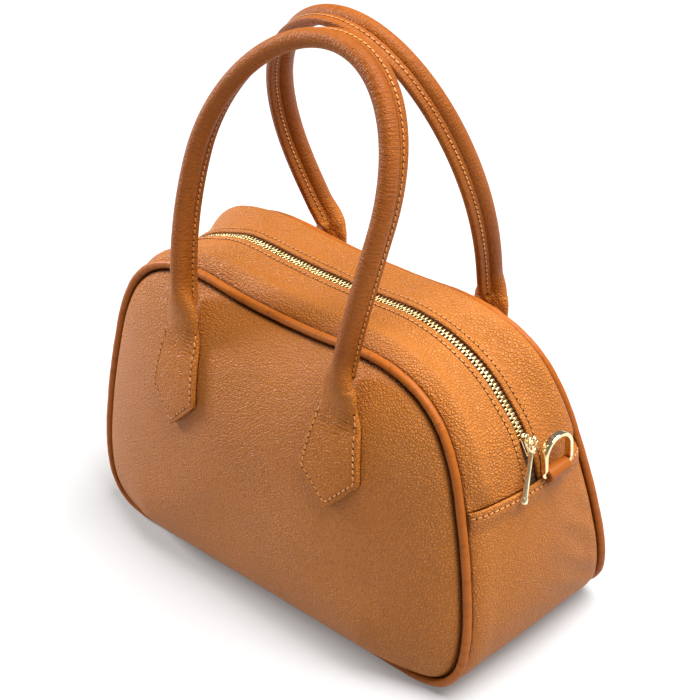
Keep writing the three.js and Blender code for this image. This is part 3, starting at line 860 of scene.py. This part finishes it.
def tube(path, radii, closed=False, squareness=1.0):
    """A tube along a path, with its radii in the path's own plane and across it."""
    along = ahead_on(path) if closed else unit(np.gradient(path, axis=0))
    plane = unit(np.cross(path[len(path) // 3] - path[0], path[len(path) // 2] - path[0]))
    inwards = np.cross(plane, along)
    turn = circle(14, 0.5)
    flat = radii[0] * power(np.cos(turn), squareness)
    wide = radii[1] * power(np.sin(turn), squareness)
    ring = inwards[:, None] * flat[:, None] + plane * wide[:, None]
    return loft(path[:, None] + ring, closed=closed)


# Slider: a waisted plate with rounded edges and an arched bail
SLIDER = Values(length=12, width=6.4, nose=4.6, height=3, lift=0.4, end_turn=1.45)
SLIDER_WAIST = ((1.0, 0.0), (0.3, 0.3), (0.0, 0.9))
BAIL = Values(middle=2.6, eye=5.9, half=2.55, top=7.85, sunk=0.6, fullness=0.75)
BAIL_WIRE = (0.6, 0.72)
BAIL_SQUARENESS = 0.7

# Plates of the slider: shares of its length and width, shift, low and high level, and bevel
SLIDER_PLATES = (
    (1.0, 1.0, 0.0, 0.0, 1.1, 0.35),
    (0.96, 0.94, 0.0, 1.9, SLIDER.height, 0.45),
    (0.55, 0.42, 0.6, 0.8, 2.2, 0.1),
)


def slider():
    half, wide, nose = SLIDER.length / 2, SLIDER.width / 2, SLIDER.nose / 2
    turn = np.linspace(-SLIDER.end_turn, SLIDER.end_turn, 15)
    round_end = points(half - wide + wide * np.cos(turn), wide * np.sin(turn))
    waist = np.array(SLIDER_WAIST) * (1, -1) + (-half, nose)
    outline = np.vstack([round_end, waist, waist[::-1] * (1, -1)])
    plates = [
        plate(outline * (long, broad) + (shift, 0), *levels)
        for long, broad, shift, *levels in SLIDER_PLATES
    ]
    turn = np.linspace(0, pi, 25)
    foot = SLIDER.height - BAIL.sunk
    arch_x = BAIL.middle - BAIL.half * np.cos(turn)
    arch_z = foot + (BAIL.top - foot) * np.sin(turn) ** BAIL.fullness
    bail = tube(points(arch_x, 0, arch_z), BAIL_WIRE, squareness=BAIL_SQUARENESS)
    return joined(plates + [bail])


slider_origin, slider_axes = seat(SLIDER_ROW, SLIDER.lift)
mesh = seated(slider(), slider_origin, slider_axes)
new_piece("zip_slider_body", mesh, GOLD, node="zip_slider")

# Pull: a wire eye through the bail and a slim rod that widens to a chamfered cap
PULL_EYE = 2.7
PULL_WIRE = (0.6, 0.6)
PULL_HANGS = unit(np.array([0.17, -0.44, -0.88]))
PULL_PROFILE = (
    (5.0, 0.55), (5.3, 0.95), (5.9, 1.05), (12, 1.15), (20, 1.32), (27.6, 1.5),
    (28.2, 1.62), (28.75, 1.82), (29.2, 1.9), (30.9, 1.9), (31.25, 1.8), (31.5, 1.5),
)


def pull():
    turn = circle(40)
    eye = points(PULL_EYE * np.sin(turn), 0, PULL_EYE * (np.cos(turn) - 1))
    turn = circle(24)
    rod = [points(radius * np.cos(turn), radius * np.sin(turn), -down) for down, radius in PULL_PROFILE]
    return joined([tube(eye, PULL_WIRE, closed=True), loft(rod)])


pivot = slider_origin + np.array([BAIL.middle, 0, BAIL.eye]) @ slider_axes
pull_across = square_to(np.array([0, 1, 0]), PULL_HANGS)
pull_axes = np.stack([pull_across, np.cross(-PULL_HANGS, pull_across), -PULL_HANGS])
mesh = seated(pull(), pivot, pull_axes)
new_piece("zip_pull_rod", mesh, SATIN, body="pull", node="zip_pull")

# Leather loops and rings at both ends
LOOP = Values(row=7.05, middle=12, length=15, outer=3.9, bore=1.8, tail=2.6)
LOOP_WRAP = (-pi / 2, pi + 0.5)
LOOP_TAIL = ((0.0, 2.0), (0.4, 1.0), (0.0, 0.0))
LOOP_ENDS = ((0.0, 0.86), (0.12, 0.93), (0.5, 0.985), (1.1, 1.0))
RING = Values(half_width=9.4, height=20.5, corner=1.5, bar=1.3, half_band=2.2, half_thick=1.1)
RING_BAND_LEVELS = (1.5, 4.5)
RING_BAND_SQUARENESS = 0.42
RING_LEAN = radians(-14)


def leather_loop():
    """A rolled strip with a tail under the folded edge of the lower gusset."""
    centre = np.array([0, LOOP.outer + GAP])
    turn = np.linspace(*LOOP_WRAP, 40)
    wrap = LOOP.outer * points(np.cos(turn), np.sin(turn))
    tail = np.array(LOOP_TAIL) * (-1, 1) + (-LOOP.tail, GAP)
    outer = np.vstack([wrap, tail - centre])
    turn = np.arctan2(outer[:, 1], outer[:, 0])
    hole = LOOP.bore * points(np.cos(turn), np.sin(turn))
    half = LOOP.length / 2
    start = [(outer * shrink, inset - half) for inset, shrink in LOOP_ENDS]
    rings = start + [(outer, 0)] + [(ring, -y) for ring, y in start[::-1]]
    rings += [(hole, y) for y in np.linspace(half, -half, 5)]
    return loft([points(ring[:, 0], y, ring[:, 1] + centre[1]) for ring, y in rings], closed=True)


def ring_path():
    w, r, h = RING.half_width, RING.corner, RING.height
    quarter = np.linspace(0, pi / 2, 12)
    half_turn = np.linspace(0, pi, 60)
    right = points(w - r + r * np.sin(quarter), r - r * np.cos(quarter))
    bow = points(w * np.cos(half_turn), h - w + w * np.sin(half_turn))
    path = np.vstack([[(0, 0)], right, bow, right[::-1] * (-1, 1), [(0, 0)]])
    lengths = lengths_along(path)
    return read_between(np.linspace(0, lengths[-1], 200, endpoint=False), lengths, path)


def ring_band():
    path = ring_path()
    along = ahead_on(path)
    banded = smooth(path[:, 1:], *RING_BAND_LEVELS)
    thick = lerp(RING.bar, RING.half_thick, banded)
    band = lerp(RING.bar, RING.half_band, banded)
    square = lerp(1.0, RING_BAND_SQUARENESS, banded)
    turn = circle(28, 0.5)
    in_plane = thick * power(np.cos(turn), square)
    out = band * power(np.sin(turn), square)
    up = path[:, 1:] - along[:, :1] * in_plane
    across = path[:, :1] + along[:, 1:] * in_plane
    c, s = cos(RING_LEAN), sin(RING_LEAN)
    return loft(points(up * c + out * s, across, out * c - up * s), closed=True)


for name, row, way in (("right", LOOP.row, -1), ("left", ROWS - LOOP.row, 1)):
    origin, axes = seat(row, 0)
    origin = origin + axes[1] * way * LOOP.middle
    mesh = seated(leather_loop(), origin, axes)
    new_piece("loop_leather_" + name, mesh, TRIM, node="ring_loop_" + name)
    mesh = seated(ring_band(), origin + axes[2] * (LOOP.outer + GAP), axes)
    new_piece("ring_band_" + name, mesh, GOLD, body="ring_" + name, node="ring_" + name)

# Tabs of the handles: level, half width, thickness and the share by which a tab is rolled up
TAB = np.array([
    (95.5, 0.8, 3, 0), (103.8, 10, 3, 0), (112, 18.2, 3, 0), (115, 18.2, 3, 0),
    (127, 16.7, 3.2, 0), (134, 15.4, 3.2, 0), (139.5, 14.8, 3.4, 0.08), (144, 14.3, 3.6, 0.2),
    (148.5, 13.8, 4, 0.4), (152, 13.2, 4.4, 0.65), (156, 12.4, 5, 0.88), (160, 11.4, 5.4, 1),
])
TAB_TIP = TAB[0, 0]
TAB_CORNERS = (TAB[2, 0], TAB[3, 0])
TAB_LIFT = 0.35
TAB_FOLLOWS = (140, 156)
TAB_STITCH = 2.5
TAB_STITCH_TOP = 148.0

# Shapes on the outer face of a tab
TAB_DOME = 0.45
TAB_GROOVE = (0.32, TAB_STITCH, 0.75)
TAB_GROOVE_FADE = (140, 150)
TAB_POINT_SLOPE = 0.69
SMILE_BEND = 2.6
SMILE_LEVELS = (130, 142, 151, 158)
SMILE_DEEP = (0.3, 3.1)
SMILE_FINE = (0.2, 4.7)
SMILE_EVEN = 0.6
SMILE_PATCHES = (0.4, 0.55)
SMILE_SLANT = 0.21

# Handles: round rolls with a sewn fin, which the tabs roll up into
NECK = (136, 166)
NECK_JOIN = (158, 174)
ROLL_RADIUS = 4.9
ROLL_START = 160.0
FIN_ROOT = ROLL_RADIUS * 0.97
FIN_LENGTH = 6.4
FIN_GROWS = (152, 163)
FLARE = 1.7
FLARE_LEVELS = (148, 175)
PUCKER = (0.3, 158, 5)
PUCKER_PACE = 2.1
PUCKER_SLANT = 0.9
PUCKER_FROM = (0, 3)
ARCH_STEPS = 40
HANDLES = {
    "front": Values(
        side=-1, feet=(-54, 61), foot=55.4, top=12.4, crest=316,
        bow=64.2, bow_at=0.515, lean=15, curl=13, ease=1.37,
    ),
    "back": Values(
        side=1, feet=(-59, 59), foot=59.5, top=12.4, crest=315,
        bow=68, bow_at=0.375, lean=-9, curl=21, ease=1.21,
    ),
}

# Points of a handle's section: shares round the roll, with the turn of a flat tab's edge there
FLAT_SHARE = 0.9
EDGE_SHARES = (0.94, 0.965, 0.985, 1.0)
HALF_SHARES = np.r_[np.linspace(0, FLAT_SHARE, 13), EDGE_SHARES]
ROLL_SHARES = np.r_[-HALF_SHARES[:0:-1], HALF_SHARES]
CORNER_TURNS = np.interp(np.abs(ROLL_SHARES), (FLAT_SHARE, *EDGE_SHARES), np.radians((0, 30, 60, 90, 90)))
ROLL_SWEEP = radians(156)
EDGE_ROUND = 0.6
EDGE_LEVEL = 0.1

# Outline of the fin, which becomes the inner face of a flat tab
FIN_SIDE = ((0.4, 2.35), (1.2, 2.1), (3.0, 2.03), (4.8, 2.0), (5.7, 1.85), (6.2, 1.4), (6.4, 0.6))
INNER_REACH = 0.985
FIN_FLOW = np.linspace(14, 28, 2 * len(FIN_SIDE))
SECTION_FLOW = np.r_[ROLL_SHARES * ROLL_SWEEP * ROLL_RADIUS, FIN_FLOW]
TAB_LEVELS = np.r_[
    np.linspace(TAB_TIP, TAB_CORNERS[0], 26),
    np.linspace(*TAB_CORNERS, 6)[1:],
    np.linspace(TAB_CORNERS[1], ROLL_START, 124)[1:-1],
]


def arch_point(handle, h, leg):
    bow_at, bow = handle.bow_at, handle.bow
    rising = np.sin(pi / 2 * np.minimum(1, h / bow_at))
    closing = np.sqrt(np.maximum(0, 1 - ((h - bow_at) / (1 - bow_at)) ** 2))
    left, right = handle.feet
    spread = np.where(h < bow_at, lerp((right - left) / 2, bow, rising), bow * closing)
    aside = (right + left) / 2 * (1 - h) ** 3
    x = leg * spread + aside + handle.lean * h + handle.curl * h**2
    y = handle.side * lerp(handle.foot, handle.top, h ** handle.ease)
    return points(x, y, lerp(ROLL_START, handle.crest, h))


def tab_half(z):
    return np.interp(z, TAB[:, 0], TAB[:, 1])


def tab_thick(z):
    return smooth_table(TAB[:, 0], TAB[:, 2], z)


def tab_roll(z):
    return smooth_table(TAB[:, 0], TAB[:, 3], z)


def neck_front(handle, x, z):
    """Distance of a tab's outer face, and of the roll above it, from the middle plane."""
    low, high = NECK
    flat = panel_face(x, z) + TAB_LIFT + tab_thick(z)
    start = panel_face(x, low) + TAB_LIFT + tab_thick(low)
    slope = (panel_face(x, low + 1.0) - panel_face(x, low - 1.0)) / 2
    t = np.clip((z - low) / (high - low), 0, 1)
    rise = handle.foot + ROLL_RADIUS - start
    curve = start + slope * (high - low) * t * (1 - t) ** 2 + rise * smooth(z, low, high)
    return np.where(z < low, flat, curve)


def leg_line(handle, leg):
    """Middle line of a leg, from its tab's tip to just below the crest."""
    x = handle.feet[0 if leg < 0 else 1]

    def neck(z):
        return handle.side * (neck_front(handle, x, z) - ROLL_RADIUS)

    low = np.linspace(0, handle.bow_at, ARCH_STEPS, endpoint=False)
    turn = np.linspace(0, pi / 2, ARCH_STEPS, endpoint=False)
    high = handle.bow_at + (1 - handle.bow_at) * np.sin(turn)
    arch = arch_point(handle, np.r_[low, high], leg)
    arch[:, 1] = lerp(neck(arch[:, 2]), arch[:, 1], smooth(arch[:, 2], *NECK_JOIN))
    return np.vstack([points(x, neck(TAB_LEVELS), TAB_LEVELS), arch])


def round_section(fin, flare):
    turn = pi + ROLL_SHARES * ROLL_SWEEP
    arc = ROLL_RADIUS * points(np.cos(turn), -flare * np.sin(turn))
    far = np.array(FIN_SIDE) * (fin, 1) + (FIN_ROOT, 0)
    return np.vstack([arc, far, far[::-1] * (1, -1)])


def flat_section(half, thick):
    """The same points laid flat: the roll is the outer face, the fin the inner face."""
    rounding = min(EDGE_ROUND, half / 2)
    reach = half - rounding * (1 - np.sin(CORNER_TURNS))
    level = -thick / 2 + rounding * (1 - np.cos(CORNER_TURNS))
    level[[0, -1]] = EDGE_LEVEL
    outer = points(level, reach * np.clip(ROLL_SHARES / FLAT_SHARE, -1, 1))
    inner = np.linspace(INNER_REACH, 0, len(FIN_SIDE), endpoint=False) * half
    return np.vstack([outer, points(thick / 2, np.r_[inner, -inner[::-1]])])


def tab_creases(across, half, z):
    """Smile-shaped creases where a tab rolls up, and the groove of its stitching."""
    aside = across / max(half, 1)
    bent = z + SMILE_BEND * aside**2
    creases = wave(bent, *SMILE_DEEP, np.sin(across * 0.4)) + wave(bent, *SMILE_FINE, 1.3)
    patches = SMILE_EVEN + wave(across, *SMILE_PATCHES, z * SMILE_SLANT)
    strength = between(z, *SMILE_LEVELS) * patches
    slope = TAB_POINT_SLOPE if z < TAB_CORNERS[0] else 1.0
    groove = hill((half - np.abs(across)) * slope, *TAB_GROOVE) * (1 - smooth(z, *TAB_GROOVE_FADE))
    return TAB_DOME * (1 - aside**2) + creases * strength - groove


def rolled_at(centre, inward, across):
    """Section of the roll with its fin, flared and puckered where it leaves the tab."""
    z = centre[2]
    shape = round_section(smooth(z, *FIN_GROWS), 1 + FLARE * (1 - smooth(z, *FLARE_LEVELS)))
    waves = wave(shape[:, 1], hill(z, *PUCKER), PUCKER_PACE, z * PUCKER_SLANT)
    shape[:, 0] += waves * smooth(shape[:, 0], *PUCKER_FROM)
    return centre + shape[:, :1] * inward + shape[:, 1:] * across


def tab_at(handle, centre, across, rolled):
    """Section of a tab, between flat and rolled up, and its painted seam shade."""
    z = centre[2]
    half, thick, roll = float(tab_half(z)), float(tab_thick(z)), float(tab_roll(z))
    flat = flat_section(half, thick)
    x = centre[0] + flat[:, 1] * np.sign(across[0])
    creased = (flat[:, 0] < 0) * tab_creases(flat[:, 1], half, z)
    follows = (panel_face(x, z) - panel_face(centre[0], z)) * (1 - smooth(z, *TAB_FOLLOWS))
    y = neck_front(handle, centre[0], z) + follows - thick / 2 - flat[:, 0] + creased
    # Painted shadow on the tab's underside and the lower part of its edge, next to the panel, fading
    # where it rolls up
    shade = (flat[:, 0] > thick * 0.1) * (1 - smooth(roll, 0.1, 0.6))
    return lerp(points(x, handle.side * y, z), rolled, roll), shade


def handle_parts(handle):
    """Skin of a handle, with its flow and painted seam shade, middle line and directions."""
    crest = arch_point(handle, np.array([1.0]), 1)
    line = np.vstack([leg_line(handle, -1), crest, leg_line(handle, 1)[::-1]])
    along = unit(np.gradient(line, axis=0))
    inward = square_to(np.array([0, -handle.side, 0]), along)
    across = np.cross(inward, along)
    tabs = len(TAB_LEVELS)
    sections, seam = [], []
    for i, centre in enumerate(line):
        section = rolled_at(centre, inward[i], across[i])
        shade = np.zeros(len(section))
        if i < tabs or i >= len(line) - tabs:
            section, shade = tab_at(handle, centre, across[i], section)
        sections.append(section)
        seam.append(shade)
    return loft(sections), flow_on(line, SECTION_FLOW), np.concatenate(seam), line, inward, across


# Stitches: short threads with a needle hole at each end
STITCH = bead((1.32, 0.46, 0.4), squareness=0.8)
# A needle hole is a small dark bead of painted shade
NEEDLE_HOLE = bead((0.62, 0.58, 0.18), rings=3)
STITCH_PITCH = 3.2
STITCH_SLANT = radians(9)
THREAD_LIFT = 0.1
ZIP_THREAD_LIFT = 0.32
ZIP_STITCH_ENDS = 0.02
SEAM_STITCH_REACH = 0.97
TAB_PITCH = STITCH_PITCH * 1.06
TAB_STITCH_TURN = TAB_CORNERS[0] + 1.1
TAB_STITCH_TIP = TAB_TIP + 2.7
RAY_START = 200
FIN_STITCH_FROM = FIN_GROWS[1] - 2
FIN_STITCH_REACH = FIN_ROOT + FIN_LENGTH * 0.36
FIN_STITCH_FACE = 2.1


def stitch_row(places, along, normal, lift=THREAD_LIFT):
    """Threads and holes for one row, each thread slightly slanted."""
    across = unit(np.cross(normal, along))
    along = np.cross(across, normal)
    c, s = cos(STITCH_SLANT), sin(STITCH_SLANT)
    slanted = (along * c + across * s, across * c - along * s)
    threads = copies(STITCH, places + normal * lift, *slanted, normal)
    ends = places + along * STITCH_PITCH / 2 + normal * (lift - THREAD_LIFT)
    return threads, copies(NEEDLE_HOLE, ends, along, across, normal)


def zip_stitches():
    row = np.linspace(SEAM_ROW + ZIP_STITCH_ENDS, LEFT_SEAM - ZIP_STITCH_ENDS, 900)
    for _, side in SIDES:
        places, along = spaced(top_point(row, SLOT_HALF + ZIP_STITCH, side), STITCH_PITCH)
        at = np.linspace(row[0], row[-1], len(places))
        yield stitch_row(places, along, directions_at(at)[2], ZIP_THREAD_LIFT)


def seam_stitches():
    share = np.linspace(-SEAM_STITCH_REACH, SEAM_STITCH_REACH, 300)
    for end in (-1, 1):
        row = end * (SEAM_ROW - LIP_STITCH / ROW_LENGTH)
        line = gusset_point(dipped(row, share), share, lower_rise(row, share))
        places, along = spaced(line, STITCH_PITCH)
        yield stitch_row(places, along, square_to(directions_at(row)[2], along))


def tab_stitches(handle, skin):
    """Rows round the tabs, dropped on to the handle's own surface."""
    tree = BVHTree.FromPolygons(skin[0].tolist(), skin[1])
    side = handle.side
    levels = np.linspace(TAB_STITCH_TOP, TAB_STITCH_TURN, 60)
    wide = lerp(tab_half(levels), ROLL_RADIUS * (1 + FLARE), tab_roll(levels))
    down = points(wide - TAB_STITCH, 0, levels)
    path = np.vstack([down * (-1, 1, 1), [(0, 0, TAB_STITCH_TIP)], down[::-1]])
    for foot in handle.feet:
        flat, _ = spaced(path + (foot, 0, 0), TAB_PITCH)
        hits = [tree.ray_cast((x, side * RAY_START, z), (0, -side, 0)) for x, _, z in flat]
        hits = [hit for hit in hits if hit[0] is not None]
        places, normal = (np.array([hit[k] for hit in hits]) for k in (0, 1))
        normal = normal * np.sign(normal[:, 1:2] * side)
        yield stitch_row(places, unit(np.gradient(places, axis=0)), normal)


def fin_stitches(line, inward, across):
    """Rows on both faces of the fin, from foot to foot."""
    sewn = line[:, 2] > FIN_STITCH_FROM
    line, inward, across = line[sewn], inward[sewn], across[sewn]
    marks = np.linspace(0, 1, len(line))
    for face in (-1, 1):
        path = line + inward * FIN_STITCH_REACH + across * face * FIN_STITCH_FACE
        places, along = spaced(path, STITCH_PITCH)
        normal = read_between(np.linspace(0, 1, len(places)), marks, across) * face
        yield stitch_row(places, along, square_to(normal, along))


def add_stitches(name, slot, *rows):
    threads, holes = zip(*rows)
    new_piece("stitches_" + name, joined(threads), THREAD)
    new_piece("needle_holes_" + name, joined(holes), HOLE)


for name, handle in HANDLES.items():
    skin, flow, seam, *lines = handle_parts(handle)
    piece_name, node = "handle_roll_" + name, "handle_" + name
    new_piece(piece_name, skin, HANDLE, node=node, flow=flow, seam=seam)
    add_stitches(node, "leather_handle", *tab_stitches(handle, skin), *fin_stitches(*lines))
add_stitches("zip", "leather_trim", *zip_stitches())
add_stitches("seams", "leather_trim", *seam_stitches())

# Stage: a pale floor that glows away from the bag, a large light above and a small one at the left end
CAMERA = Values(
    turn=0.798966, tilt=0.561881, roll=-0.055339,
    place=(0.68493, -0.62925, 0.71222), lens_px=2091.5335, middle_px=(385.837, 349.693),
)
FRAME_PX = 700
SENSOR = 36.0
FLOOR_SIZE = 16.0
FLOOR_LEVEL = -0.0002
FLOOR_TONES = ((0.43, 0.43, 0.43, 1), (0.47, 0.47, 0.47, 1))
WHITE = (1, 1, 1, 1)
GLOW_REACH = (0.9, 2.6)
GLOW = (0.17, 0.8)
SKY_STRENGTH = 0.2
LIGHT_AIM = (0, 0, 0.1)

# Lights: place in metres, size and power
LIGHTS = {
    "key": ((0.5, 0.28, 1.52), 1.5, 70),
    "fill": ((-1.5, -0.4, 0.75), 0.4, 30),
}


def floor_look():
    look = Look("pale_floor")
    distance = look.maths("LENGTH", look.place, kind="VectorMath")
    return look.finish(
        Base_Color=look.mixed(look.noise(look.place, 3.0), *FLOOR_TONES),
        Roughness=0.6,
        Specular_IOR_Level=0.2,
        Emission_Color=WHITE,
        Emission_Strength=look.ranged(distance, *GLOW_REACH, *GLOW),
    )


def add_floor():
    half = FLOOR_SIZE / 2
    corners = [(-half, -half, 0), (half, -half, 0), (half, half, 0), (-half, half, 0)]
    data = bpy.data.meshes.new("floor")
    data.from_pydata(corners, [], [(0, 1, 2, 3)])
    data.materials.append(floor_look())
    floor = add_to_scene("floor", data)
    floor.location.z = FLOOR_LEVEL


def add_light(name, place, size, watts):
    data = bpy.data.lights.new(name, "AREA")
    data.shape = "DISK"
    data.size = size
    data.energy = watts
    light = add_to_scene(name, data)
    light.location = place
    light.rotation_euler = (Vector(LIGHT_AIM) - Vector(place)).to_track_quat("-Z", "Y").to_euler()


def add_camera():
    data = bpy.data.cameras.new("photo_view")
    data.sensor_width = SENSOR
    data.lens = CAMERA.lens_px * SENSOR / FRAME_PX
    middle_x, middle_y = CAMERA.middle_px
    data.shift_x = (FRAME_PX / 2 - middle_x) / FRAME_PX
    data.shift_y = (middle_y - FRAME_PX / 2) / FRAME_PX
    camera = add_to_scene("photo_view", data)
    matrix = Matrix.Translation(CAMERA.place)
    for angle, axis in ((CAMERA.turn, "Z"), (pi / 2 - CAMERA.tilt, "X"), (CAMERA.roll, "Z")):
        matrix = matrix @ Matrix.Rotation(angle, 4, axis)
    camera.matrix_world = matrix
    bpy.context.scene.camera = camera


def add_world():
    world = bpy.data.worlds.new("studio")
    world.use_nodes = True
    sky = world.node_tree.nodes["Background"]
    sky.inputs["Color"].default_value = WHITE
    sky.inputs["Strength"].default_value = SKY_STRENGTH
    bpy.context.scene.world = world


add_floor()
add_world()
for name, settings in LIGHTS.items():
    add_light(name, *settings)
add_camera()
bpy.context.scene.view_settings.view_transform = "Standard"
